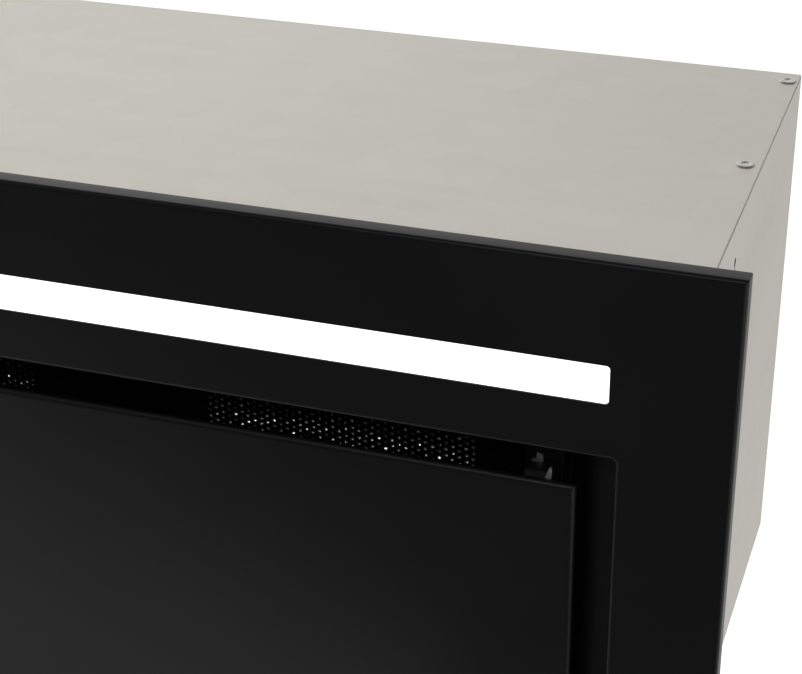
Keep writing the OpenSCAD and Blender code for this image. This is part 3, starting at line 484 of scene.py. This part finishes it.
def makeFrame():
    f = frontFrame
    low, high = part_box("front_frame")
    front, t, b, m, e = low.y, f["sheet"], f["bend"], f["margin"], f["hemRound"]
    hem, foldEnd = low.y + f["hemDepth"], low.y + f["openingFold"]
    trayLow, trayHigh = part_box("suction_tray")
    ox, oz0, oz1 = (trayHigh.x - f["trayWall"], trayLow.z + f["trayWall"],
                    trayHigh.z - f["trayWall"])
    coverLow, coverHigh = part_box("light_cover")
    lx, lz0, lz1 = (coverHigh.x - f["windowLip"], coverLow.z + f["windowLip"],
                    coverHigh.z - f["windowLip"])
    bm = bmesh.new()

    def outer(inset):
        return roundLoop(low.x + inset, high.x - inset, low.z + inset, high.z - inset,
                         max(0.0001, f["corner"] - inset * 0.5), 3)

    def opening(inset):
        return roundLoop(-ox - inset, ox + inset, oz0 - inset, oz1 + inset,
                         f["openingCorner"] + inset, 8)

    def window(inset):
        return roundLoop(-lx - inset, lx + inset, lz0 - inset, lz1 + inset,
                         f["windowCorner"] + inset, 6)

    edge = sweepRings(bm, outer, [(b + m, front)] + arc(b, front + b, b, 90, 0, f["bendSteps"])
                      + [(0, hem - e)] + arc(e, hem - e, e, 0, -90, 3)
                      + [(f["hemWidth"], hem), (f["hemWidth"], hem - t), (t, hem - t)]
                      + [(t, front + b + 0.0002)] + arc(b, front + b, b - t, 0, 90, 3)
                      + [(b + m, front + t)])
    o = f["openingBend"]
    fold = sweepRings(bm, opening, [(o + m, front)] + arc(o, front + o, o, 90, 0, 5)
                      + [(0, foldEnd - e), (e, foldEnd), (t, foldEnd), (t, front + t),
                         (o + m, front + t)])
    c = f["cutEdge"]
    cut = [(c + m, front), (c, front), (c * 0.3, front + c * 0.3), (0, front + c),
           (0, front + t), (c + m, front + t)]
    lit = sweepRings(bm, window, cut)
    fronts, backs = [edge[0], fold[0], lit[0]], [edge[-1], fold[-1], lit[-1]]
    for n in range(1, 6):
        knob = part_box(f"button_{n}")
        x, z = (knob[0].x + knob[1].x) / 2, (knob[0].z + knob[1].z) / 2
        r = (knob[1].x - knob[0].x) / 2 - f["buttonFlange"] + f["buttonGap"]
        hole = sweepRings(bm, lambda inset: circleLoop(x, z, r + inset), cut)
        fronts.append(hole[0])
        backs.append(hole[-1])
    fillFlat(bm, fronts)
    fillFlat(bm, backs)
    addPiece("frontFrameShell", bm, "casing", "black_paint", stands=("front_frame",))


makeFrame()


# Suction panel in front of the filters, a shallow folded tray
suctionPanel = {"sheet": 0.0012, "bend": 0.0027, "bendSteps": 7, "margin": 0.0004,
                "corner": 0.0006, "edge": 0.0002, "clearance": 0.0001}


def makePanel():
    p = suctionPanel
    low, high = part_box("suction_panel")
    front, back, t, b, m = low.y, high.y, p["sheet"], p["bend"], p["margin"]
    bm = bmesh.new()

    def outer(inset):
        return roundLoop(low.x + inset, high.x - inset, low.z + inset, high.z - inset,
                         max(0.0001, p["corner"] - inset * 0.4), 3)

    e, inside = p["edge"], front + t + p["clearance"]
    rings = sweepRings(bm, outer, [(b + m, front)] + arc(b, front + b, b, 90, 0, p["bendSteps"])
                       + [(0, back - e), (e, back), (t, back), (t, inside), (b + m, inside)])
    fillFlat(bm, [rings[0]])
    fillFlat(bm, [rings[-1]])
    addPiece("suctionPanelShell", bm, "panel", "black_paint", stands=("suction_panel",))


makePanel()
print("frame and panel made")


# Roof of the casing: its outer edge is undercut, which leaves a fine gap over the plates below
roofSheet = {"bend": 0.00034, "bendSteps": 6, "margin": 0.0006, "underGap": 0.00064,
             "corner": 0.0006, "lip": 0.0002, "tuck": 0.0030}
casingSoft = 0.0003  # on the back and bottom sheets


def makeRoof():
    r = roofSheet
    low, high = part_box("top_sheet")
    b, m = r["bend"], r["margin"]
    bm = bmesh.new()

    def outline(inset, z):
        points = roundLoop(low.x + inset, high.x - inset, low.y + inset, high.y - inset,
                           r["corner"], 3)
        return [bm.verts.new((x, y, z)) for x, y in points]

    section = [(b + m, high.z)]
    for i in range(r["bendSteps"] + 1):
        angle = math.radians(90 * (1 - i / r["bendSteps"]))
        section.append((b - b * math.cos(angle), high.z - b + b * math.sin(angle)))
    section += [(r["lip"], low.z + r["underGap"]), (r["tuck"], low.z + r["underGap"]),
                (r["tuck"], low.z)]
    rings = [outline(inset, z) for inset, z in section]
    bridgeAll(bm, rings)
    capEnds(bm, rings)
    addPiece("roofSheet", bm, "casing", "galvanised_sheet", stands=("top_sheet",))


makeRoof()
for sheetName in ("back_sheet", "bottom_sheet"):
    softened(sheetName, casingSoft)


# The slot for the side clip is cut through the end plate. Its edge faces are painted near black:
# painted shade standing in for the dark inside the slot.
# The fold at the plate's top sits a little low, which leaves a seam under the roof
endPlate = {"soft": 0.00045, "foldReach": 0.0006, "foldDrop": 0.0006, "slotY": -0.0975,
            "slotReach": 0.004, "slotRise": 0.045}


def makeEndPlate(side):
    e = endPlate
    plate = softened(f"end_plate_{side}", e["soft"])
    low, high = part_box(f"end_plate_{side}")
    outside = max(abs(low.x), abs(high.x))
    for vert in plate.data.vertices:
        if vert.co.z > high.z - e["foldReach"] and abs(vert.co.x) > outside - e["foldReach"]:
            vert.co.z -= e["foldDrop"]
    # The slot's edge faces get the near-black painted shade
    plate.data.materials.append(finishes["cut_edge"])
    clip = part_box("side_clips")
    for face in plate.data.polygons:
        middle = face.center
        if abs(face.normal.x) < 0.5 and abs(middle.y - e["slotY"]) < e["slotReach"]:
            if clip[0].z < middle.z < clip[1].z + e["slotRise"]:
                face.material_index = 1


makeEndPlate("left")
makeEndPlate("right")


# The middle and the box's corners of each loose part of a node's plain solid
def looseCentres(nodeName):
    bm = bmesh.new()
    bm.from_mesh(frame["nodes"][nodeName].data)
    bmesh.ops.remove_doubles(bm, verts=bm.verts, dist=1e-6)
    waiting, centres = set(bm.verts), []
    while waiting:
        group, edge = set(), [waiting.pop()]
        while edge:
            vert = edge.pop()
            group.add(vert)
            for link in vert.link_edges:
                other = link.other_vert(vert)
                if other in waiting:
                    waiting.discard(other)
                    edge.append(other)
        low = Vector([min(v.co[k] for v in group) for k in range(3)])
        high = Vector([max(v.co[k] for v in group) for k in range(3)])
        centres.append(((low + high) / 2, low, high))
    bm.free()
    return centres


# A ring of points that faces along a direction, at a height along it
def turnedRing(bm, place, turn, points, height=0.0):
    return [bm.verts.new(place + turn @ Vector((x, y, height))) for x, y in points]


# Turned rings from steps of (radius, height)
def latheRings(bm, place, turn, section, steps):
    return [turnedRing(bm, place, turn, circleLoop(0.0, 0.0, radius, steps), height)
            for radius, height in section]


# Blind rivets: a flat head with a rolled edge and a hollow where the stem broke off. The
# profile is in shares of the solid head's radius and height
rivets = {"steps": 48, "shank": 0.0018, "sunk": 0.0015, "sheet": 0.001, "profile": (
    (0.06, 0.24), (0.20, 0.23), (0.30, 0.24), (0.35, 0.29), (0.39, 0.39), (0.45, 0.48),
    (0.52, 0.52), (0.78, 0.51), (0.88, 0.46), (0.94, 0.35), (0.97, 0.24), (0.99, 0.12),
    (1.0, 0.04), (1.0, 0.0))}


def makeRivets():
    casing = [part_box("end_plate_left")[0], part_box("end_plate_right")[1]]
    roof, backFace = casing[1].z + rivets["sheet"], casing[1].y + rivets["sheet"]
    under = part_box("back_sheet")[0].z
    bm = bmesh.new()
    for centre, low, high in looseCentres("casing_rivets"):
        size = high - low
        axis = min(range(3), key=lambda k: size[k])
        r = max(size) / 2
        place, direction = centre.copy(), Vector()
        direction[axis] = 1 if centre[axis] > (0.0 if axis == 1 else (roof + under) / 2) else -1
        face = {1: backFace, 2: roof if direction[2] > 0 else under}[axis]
        place[axis] = face
        h = abs((high if direction[axis] > 0 else low)[axis] - face)
        section = [(r * share, h * rise) for share, rise in rivets["profile"]]
        section += [(rivets["shank"], 0.0), (rivets["shank"], -rivets["sunk"])]
        rings = latheRings(bm, place, direction.to_track_quat("Z", "Y"), section,
                           rivets["steps"])
        bridgeAll(bm, rings)
        capEnds(bm, rings)
    addPiece("casingRivetHeads", bm, "casing", "zinc_plate", stands=("casing_rivets",),
             smooth=40.0)


makeRivets()


# Pan-head screws with a cross recess, in the places of the plain ones. The profile, arm, slit
# and floor are shares of the head's radius or height; the taper narrows the recess's floor
crossHead = {"steps": 28, "arm": 0.56, "slit": 0.13, "floor": 0.35, "taper": 0.7,
             "profile": ((1.0, 0.0), (1.0, 0.35), (0.95, 0.66), (0.84, 0.90), (0.70, 1.0))}


def makeScrews(nodeName, axis, headHeight, shank):
    c = crossHead
    across = (axis + 1) % 3
    bm = bmesh.new()
    for centre, low, high in looseCentres(nodeName):
        sign = 1 if centre[axis] > 0 else -1
        r = (high[across] - low[across]) / 2
        length = high[axis] - low[axis] - headHeight
        place, direction = centre.copy(), Vector()
        direction[axis] = sign
        place[axis] = (high[axis] - headHeight) if sign > 0 else (low[axis] + headHeight)
        turn = direction.to_track_quat("Z", "Y")
        section = [(shank, -length), (shank, 0.0)]
        section += [(r * share, headHeight * rise) for share, rise in c["profile"]]
        rings = latheRings(bm, place, turn, section, c["steps"])
        a, w = r * c["arm"], r * c["slit"]
        cross = [(a, -w), (a, w), (w, w), (w, a), (-w, a), (-w, w),
                 (-a, w), (-a, -w), (-w, -w), (-w, -a), (w, -a), (w, -w)]
        mouth = turnedRing(bm, place, turn, cross, headHeight)
        floor = turnedRing(bm, place, turn, [(x * c["taper"], y * c["taper"]) for x, y in cross],
                           headHeight * c["floor"])
        bridgeAll(bm, rings)
        bm.faces.new(rings[0])
        fillFlat(bm, [rings[-1], mouth])
        bridge(bm, mouth, floor)
        fillFlat(bm, [floor])
    addPiece(pieceNameOf(nodeName), bm, "casing", slotOf[nodeName], stands=(nodeName,),
             smooth=40.0)


makeScrews("clip_screws", axis=0, headHeight=0.0025, shank=0.002)
makeScrews("collar_screws", axis=1, headHeight=0.002, shank=0.002)
print("casing made")


# Filter cassettes: a folded tray with a perforated face and a wire handle
cassette = {
    "hole": 0.00112, "columnPitch": 0.003395, "rowPitch": 0.0035, "face": 0.0008, "rim": 0.001,
    "edge": 0.0008, "margin": 0.0003, "sideStrip": 0.0465, "lowerStrip": 0.014,
    "upperStrip": 0.006, "frontOffset": 0.0065, "handleWidth": 0.040, "handleRadius": 0.0015,
    "handleRise": 0.009, "handleBend": 0.003, "handleSunk": 0.0005, "handleSides": 12,
}


# A face with staggered eight-sided holes: both sides and the holes' walls. Every second
# column sits half a pitch higher
def perforate(bm, x0, x1, z0, z1, yFront, yBack):
    across, up, r = cassette["columnPitch"], cassette["rowPitch"], cassette["hole"]
    columns, rows = int((x1 - x0) / across), int((z1 - z0) / up)
    x0 = (x0 + x1) / 2 - columns * across / 2
    z0 = z1 - rows * up
    spokes = [math.radians(22.5 + 45 * n) for n in range(8)]
    grid = {}

    def corner(i, k, y):
        if (i, k, y) not in grid:
            grid[i, k, y] = bm.verts.new((x0 + i * across, y, z0 + k * up / 2))
        return grid[i, k, y]

    for i in range(columns):
        shift = i % 2
        if shift:
            for k in (0, 2 * rows - 1):
                for y in (yFront, yBack):
                    bm.faces.new((corner(i, k, y), corner(i + 1, k, y),
                                  corner(i + 1, k + 1, y), corner(i, k + 1, y)))
        for c in range(rows - shift):
            k = 2 * c + shift
            cx, cz = x0 + (i + 0.5) * across, z0 + (k + 1) * up / 2
            walls = []
            for y in (yFront, yBack):
                h = ring(bm, [(cx + r * math.cos(a), cz + r * math.sin(a)) for a in spokes], y)
                bl, ml, tl = corner(i, k, y), corner(i, k + 1, y), corner(i, k + 2, y)
                br, mr, tr = corner(i + 1, k, y), corner(i + 1, k + 1, y), corner(i + 1, k + 2, y)
                for loop in ((mr, h[0], h[7]), (mr, tr, h[1], h[0]), (tr, tl, h[2], h[1]),
                             (tl, ml, h[3], h[2]), (ml, h[4], h[3]), (ml, bl, h[5], h[4]),
                             (bl, br, h[6], h[5]), (br, mr, h[7], h[6])):
                    bm.faces.new(loop)
                walls.append(h)
            bridge(bm, walls[0], walls[1])
    return [{"low": [corner(i, 0, y) for i in range(columns + 1)],
             "high": [corner(i, 2 * rows, y) for i in range(columns + 1)],
             "left": [corner(0, k, y) for k in range(2 * rows + 1)],
             "right": [corner(columns, k, y) for k in range(2 * rows + 1)]}
            for y in (yFront, yBack)]


# Fills between the four outer corners and the perforated part's edge
def closeBorder(bm, edge, corners):
    a, b, c, d = corners
    bm.faces.new([a, b] + list(reversed(edge["low"])))
    bm.faces.new([b, c] + list(reversed(edge["right"])))
    bm.faces.new([c, d] + edge["high"])
    bm.faces.new([d, a] + edge["left"])


# A round wire along a path
def tube(bm, path, radius, sides):
    rings = []
    for i, point in enumerate(path):
        before, after = path[max(i - 1, 0)], path[min(i + 1, len(path) - 1)]
        turn = (Vector(after) - Vector(before)).to_track_quat("Z", "Y")
        rings.append(turnedRing(bm, Vector(point), turn, circleLoop(0.0, 0.0, radius, sides)))
    bridgeAll(bm, rings)
    capEnds(bm, rings)


def makeCassette(side):
    c = cassette
    low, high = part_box(f"filter_{side}")
    front, back = low.y + c["frontOffset"], high.y
    bm = bmesh.new()
    holes = perforate(bm, low.x + c["sideStrip"], high.x - c["sideStrip"],
                      low.z + c["lowerStrip"], high.z - c["upperStrip"],
                      front, front + c["face"])

    def rect(inset, y):
        return ring(bm, ((low.x + inset, low.z + inset), (high.x - inset, low.z + inset),
                         (high.x - inset, high.z - inset), (low.x + inset, high.z - inset)), y)

    e = c["edge"]
    rings = [rect(e + c["margin"], front), rect(e, front), rect(e * 0.29, front + e * 0.29),
             rect(0, front + e), rect(0, back), rect(c["rim"], back),
             rect(c["rim"], front + c["face"])]
    bridgeAll(bm, rings)
    closeBorder(bm, holes[0], rings[0])
    closeBorder(bm, holes[1], rings[-1])
    middle, z = (low.x + high.x) / 2, low.z + c["handleRise"]
    w, out, bend = c["handleWidth"] / 2, low.y + c["handleRadius"], c["handleBend"]
    path = [(middle - w, front + c["handleSunk"], z), (middle - w, out + bend, z)]
    path += [(middle - w + bend - bend * math.cos(a), out + bend - bend * math.sin(a), z)
             for a in (math.radians(d) for d in (22, 45, 68, 90))]
    path += [(2 * middle - x, y, zz) for x, y, zz in reversed(path)]
    tube(bm, path, c["handleRadius"], c["handleSides"])
    addPiece(f"filterCassette{side.capitalize()}", bm, f"filter_{side}", "black_filter_paint",
             stands=(f"filter_{side}",))


# Expanded mesh behind the holes, made as one crinkled sheet whose facets lean up and down
# by turns
greaseMesh = {"across": 0.0015, "rise": 0.00125, "gap": 0.0002, "lean": 0.00092,
              "skew": 0.0003, "jitter": 0.00043, "seed": 11}


def makeGreaseMesh(side):
    g = greaseMesh
    low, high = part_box(f"filter_mesh_{side}")
    rng = random.Random(g["seed"] + len(side))
    columns, rows = int((high.x - low.x) / g["across"]), int((high.z - low.z) / g["rise"])
    bm = bmesh.new()
    front = []
    for k in range(rows + 1):
        line = []
        for i in range(columns + 1):
            x = low.x + (high.x - low.x) * i / columns
            z = low.z + (high.z - low.z) * k / rows
            y = low.y + g["gap"] + g["lean"] * (k % 2) + g["skew"] * ((i + k // 2) % 2)
            line.append(bm.verts.new((x, y + rng.uniform(0, g["jitter"]), z)))
        front.append(line)
    for first, second in zip(front, front[1:]):
        for i in range(columns):
            bm.faces.new((first[i], first[i + 1], second[i + 1], second[i]))
    rim = (front[0] + [front[k][columns] for k in range(1, rows + 1)] + front[rows][-2::-1]
           + [front[k][0] for k in range(rows - 1, 0, -1)])
    back = [bm.verts.new((v.co.x, high.y, v.co.z)) for v in rim]
    bridge(bm, rim, back)
    bm.faces.new(back)
    addPiece(f"greaseMesh{side.capitalize()}", bm, f"filter_{side}", "grease_mesh",
             stands=(f"filter_mesh_{side}",), smooth=12.0)


for sideName in ("left", "middle", "right"):
    makeCassette(sideName)
    makeGreaseMesh(sideName)
print("filters made")


# Fittings made from the plain solids, with the width of their softened edges
softEdges = {
    "light_cover": 0.0004, "light_channel": 0.0002, "suction_tray": 0.0003,
    "filter_carrier": 0.0003, "hinge_brackets": 0.0003, "panel_hinge_lugs": 0.0002,
    "panel_backing": 0.0002, "panel_strikers": 0.0002, "magnet_catches": 0.0005,
    "catch_brackets": 0.0004, "side_clips": 0.0002, "duct_collar": 0.0004,
    "cable_gland": 0.0004, "button_housing": 0.0003,
    **{f"button_{n}": 0.0005 for n in range(1, 6)},
    "frame_nuts": 0.0003,
}
fittings = {nodeName: softened(nodeName, width) for nodeName, width in softEdges.items()}

# The filter carrier's colour grows paler towards its ends, which stands in for light falling
# into the gap. The two places are measured inwards from the opening's side
carrierShade = {"pale": (0.034, 0.034, 0.034), "deep": (0.0012, 0.0012, 0.0012),
                "palePlace": 0.0110, "deepPlace": 0.0190, "share": 0.85, "specular": 0.15}


def shadeCarrier(carrier):
    c = carrierShade
    material = coated("blackCarrierPlastic", {**moulded, "specular": c["specular"]})
    tree = material.node_tree
    colour = tree.nodes["Principled BSDF"].inputs["Base Color"]
    plain = colour.links[0].from_socket
    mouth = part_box("suction_tray")[1].x - frontFrame["trayWall"]
    spot = addNode(tree, "ShaderNodeTexCoord")
    parts = addNode(tree, "ShaderNodeSeparateXYZ", {"Vector": spot.outputs["Object"]})
    across = addNode(tree, "ShaderNodeMath", {0: parts.outputs["X"]}, operation="ABSOLUTE")
    outward = mapRange(tree, across.outputs[0],
                       (mouth - c["deepPlace"], mouth - c["palePlace"]), (0.0, 1.0))
    fade = blendColours(tree, outward, c["deep"], c["pale"])
    tree.links.new(blendColours(tree, c["share"], plain, fade), colour)
    carrier.data.materials[0] = material


shadeCarrier(fittings["filter_carrier"])


# The catch's pole plate, standing a little above its block, with a sloping top and a short toe
polePlate = {"inset": 0.0222, "width": 0.003, "thick": 0.0012, "rise": 0.0050,
             "slope": 0.0013, "corner": 0.0003, "foot": 0.006, "toe": 0.0022,
             "toeRise": 0.0009}


def makePolePlates():
    q = polePlate
    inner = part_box("suction_panel")[1].x - q["inset"]
    block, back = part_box("magnet_catches")[1].z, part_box("catch_brackets")[0].y
    foot, toe, top = block - q["foot"], block + q["toeRise"], block + q["rise"]
    outline = [(inner - q["toe"], foot), (inner + q["width"], foot),
               (inner + q["width"], top - q["slope"]),
               (inner + q["width"] * 0.8, top - q["slope"] * 0.7),
               (inner + q["width"] * 0.1, top), (inner, top - q["corner"]),
               (inner, block + q["toeRise"] * 1.5), (inner - q["toe"] * 0.2, toe),
               (inner - q["toe"], toe)]
    bm = bmesh.new()
    for side in (-1, 1):
        loop = [(side * x, z) for x, z in outline]
        faces = [ring(bm, loop, back - q["thick"]), ring(bm, loop, back)]
        bridgeAll(bm, faces)
        capEnds(bm, faces)
    addPiece("catchPolePlates", bm, "casing", "zinc_plate")


makePolePlates()
print("fittings made:", len(softEdges))


# Floor, key light and backdrop. The spans are ranges of the viewing direction's x (across),
# z (zenith) and y (behind), which all run from -1 to 1
studio = {
    "floorSize": 60.0, "floorPlace": -0.0005, "floorDark": (0.84, 0.84, 0.84),
    "floorLight": (0.87, 0.87, 0.87), "glowSeen": 0.9, "glowElsewhere": 0.42,
    "backdropLeft": 1.36, "backdropRight": 0.50, "acrossSpan": (-0.5, 0.55),
    "zenith": 0.10, "zenithSpan": (0.5, 0.9), "frontShare": 0.16, "behindSpan": (-0.15, 0.40),
    "keyPlace": (0.20, -2.35, 2.25), "keyTarget": (0.1, -0.15, 0.26),
    "keySize": (0.26, 0.20), "keyPower": 3.6,
}

# Cards that only reflections see: a dark one and a pale glowing one lie in front, and a dark
# one stands at their far end
cards = {
    "frontFlag": {"tone": 0.006, "glow": 0.0, "corners": (
        (0.62, -0.25, 0.0), (0.30, -0.26, 0.0), (0.20, -0.35, 0.0), (-0.10, -0.47, 0.0),
        (-0.30, -0.56, 0.0), (-1.2, -0.75, 0.0), (-4.0, -0.9, 0.0), (-4.0, -3.5, 0.0),
        (1.2, -3.5, 0.0))},
    "frontCard": {"tone": 0.62, "glow": 0.33, "corners": (
        (3.0, -0.165, -0.0002), (-4.0, -0.165, -0.0002), (-4.0, -3.5, -0.0002),
        (3.0, -3.5, -0.0002))},
    "frontFlagUpright": {"tone": 0.006, "glow": 0.0, "corners": (
        (-3.0, -3.5, 0.0), (3.0, -3.5, 0.0), (3.0, -3.5, 2.1), (-3.0, -3.5, 2.1))},
}


def makeFloor():
    s = studio
    half = s["floorSize"] / 2
    bm = bmesh.new()
    bm.faces.new([bm.verts.new((x * half, y * half, s["floorPlace"]))
                  for x, y in ((-1, -1), (1, -1), (1, 1), (-1, 1))])
    floor = linkMesh("studioFloor", bm)
    material, tree, shader = newMaterial("paleFloor", roughness=0.9, specular=0.1)
    tone = useGroup(tree, patches, Scale=1.5, Low=0.0, High=1.0)
    colour = blendColours(tree, tone.outputs["Amount"], s["floorDark"], s["floorLight"])
    tree.links.new(colour, shader.inputs["Base Color"])
    shader.inputs["Emission Color"].default_value = (1, 1, 1, 1)
    path = addNode(tree, "ShaderNodeLightPath")
    glow = mapRange(tree, path.outputs["Is Camera Ray"], (0.0, 1.0),
                    (s["glowElsewhere"], s["glowSeen"]))
    tree.links.new(glow, shader.inputs["Emission Strength"])
    floor.data.materials.append(material)


def makeWorld():
    s, white = studio, (1.0, 1.0, 1.0)
    world = bpy.data.worlds.new("softStudio")
    scene.world = world
    world.use_nodes = True
    tree = world.node_tree
    ground = tree.nodes["Background"]
    spot = addNode(tree, "ShaderNodeTexCoord")
    parts = addNode(tree, "ShaderNodeSeparateXYZ", {"Vector": spot.outputs["Generated"]})
    across = mapRange(tree, parts.outputs["X"], s["acrossSpan"],
                      (s["backdropLeft"], s["backdropRight"]))
    height = mapRange(tree, parts.outputs["Z"], s["zenithSpan"], (0.0, 1.0))
    behind = mapRange(tree, parts.outputs["Y"], s["behindSpan"], (0.0, 1.0))
    low = blendColours(tree, behind, (s["frontShare"],) * 3, white)
    sky = blendColours(tree, height, low, (s["zenith"],) * 3)
    # Seen directly the backdrop is plain white; the grading is for light and reflections
    path = addNode(tree, "ShaderNodeLightPath")
    seen = blendColours(tree, path.outputs["Is Camera Ray"], sky, white)
    strength = mapRange(tree, path.outputs["Is Camera Ray"], (0.0, 1.0), (across, 1.0))
    tree.links.new(seen, ground.inputs["Color"])
    tree.links.new(strength, ground.inputs["Strength"])


def makeKeyLight():
    s = studio
    data = bpy.data.lights.new("keySoftbox", "AREA")
    data.shape = "RECTANGLE"
    data.size, data.size_y = s["keySize"]
    data.energy = s["keyPower"]
    lamp = bpy.data.objects.new("keySoftbox", data)
    lamp.location = s["keyPlace"]
    aim = Vector(s["keyTarget"]) - Vector(s["keyPlace"])
    lamp.rotation_euler = aim.to_track_quat("-Z", "Y").to_euler()
    scene.collection.objects.link(lamp)


def addCard(name, look):
    bm = bmesh.new()
    bm.faces.new([bm.verts.new(corner) for corner in look["corners"]])
    card = linkMesh(name, bm)
    material, tree, shader = newMaterial(name + "Cloth", roughness=1.0, specular=0.0)
    spread = useGroup(tree, patches, Scale=3.0, Low=0.0, High=1.0)
    colour = blendColours(tree, spread.outputs["Amount"], (look["tone"] * 0.9,) * 3,
                          (look["tone"] * 1.1,) * 3)
    tree.links.new(colour, shader.inputs["Base Color"])
    shader.inputs["Emission Color"].default_value = (1, 1, 1, 1)
    shader.inputs["Emission Strength"].default_value = look["glow"]
    card.data.materials.append(material)
    card.visible_camera = card.visible_diffuse = card.visible_shadow = False
    card.visible_transmission = False


makeFloor()
makeWorld()
makeKeyLight()
for cardName, look in cards.items():
    addCard(cardName, look)
scene.view_settings.view_transform = "Standard"
print("studio made")
